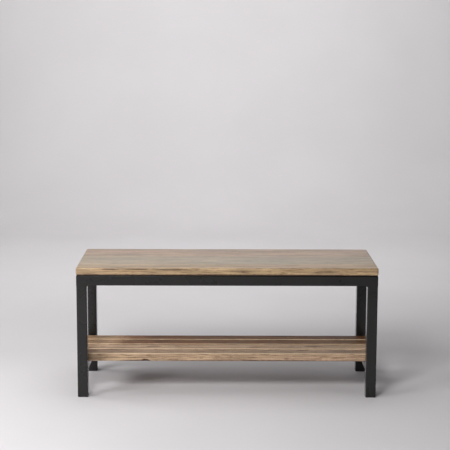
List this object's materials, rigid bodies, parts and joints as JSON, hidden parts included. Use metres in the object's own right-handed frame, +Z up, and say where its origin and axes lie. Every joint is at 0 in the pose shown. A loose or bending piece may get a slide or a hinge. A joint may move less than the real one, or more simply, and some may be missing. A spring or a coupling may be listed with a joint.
{
  "type": "entryway bench",
  "caption": "Low backless bench with a solid wood plank seat and a slatted wood shelf on a welded black square-tube steel frame, for sitting and storing shoes.",
  "frame": {"origin": "on the floor under the middle of the bench", "axes": "+X along the bench's length to the sitter's left when seated facing -Y, +Y from the front to the back, +Z up"},
  "size_m": [1.1, 0.382, 0.485],
  "materials": {
    "seat_wood": "satin lacquered solid hardwood boards with open brown grain",
    "shelf_wood": "satin lacquered solid hardwood slats with open brown grain",
    "frame_black": "satin black powder coat on welded steel tube",
    "glide_plastic": "moulded black polyethylene, fine matte",
    "zinc_steel": "bright zinc plated steel"
  },
  "bodies": {
    "root": {"seat_board_1": "seat_wood", "seat_board_2": "seat_wood", "seat_board_3": "seat_wood", "seat_board_4": "seat_wood", "seat_board_5": "seat_wood", "shelf_slat_1": "shelf_wood", "shelf_slat_2": "shelf_wood", "shelf_slat_3": "shelf_wood", "shelf_slat_4": "shelf_wood", "leg_back_left": "frame_black", "leg_back_right": "frame_black", "leg_front_left": "frame_black", "leg_front_right": "frame_black", "rail_back": "frame_black", "rail_front": "frame_black", "rail_left": "frame_black", "rail_right": "frame_black", "stretcher_left": "frame_black", "stretcher_right": "frame_black", "fixing_tab_back_left": "frame_black", "fixing_tab_back_middle": "frame_black", "fixing_tab_back_right": "frame_black", "fixing_tab_front_left": "frame_black", "fixing_tab_front_middle": "frame_black", "fixing_tab_front_right": "frame_black", "glide_back_left": "glide_plastic", "glide_back_right": "glide_plastic", "glide_front_left": "glide_plastic", "glide_front_right": "glide_plastic", "seat_screws": "zinc_steel", "seat_washers": "zinc_steel", "shelf_screws": "zinc_steel", "seam_welds": "frame_black", "fillet_welds": "frame_black", "tab_welds": "frame_black"}
  },
  "joints": []
}
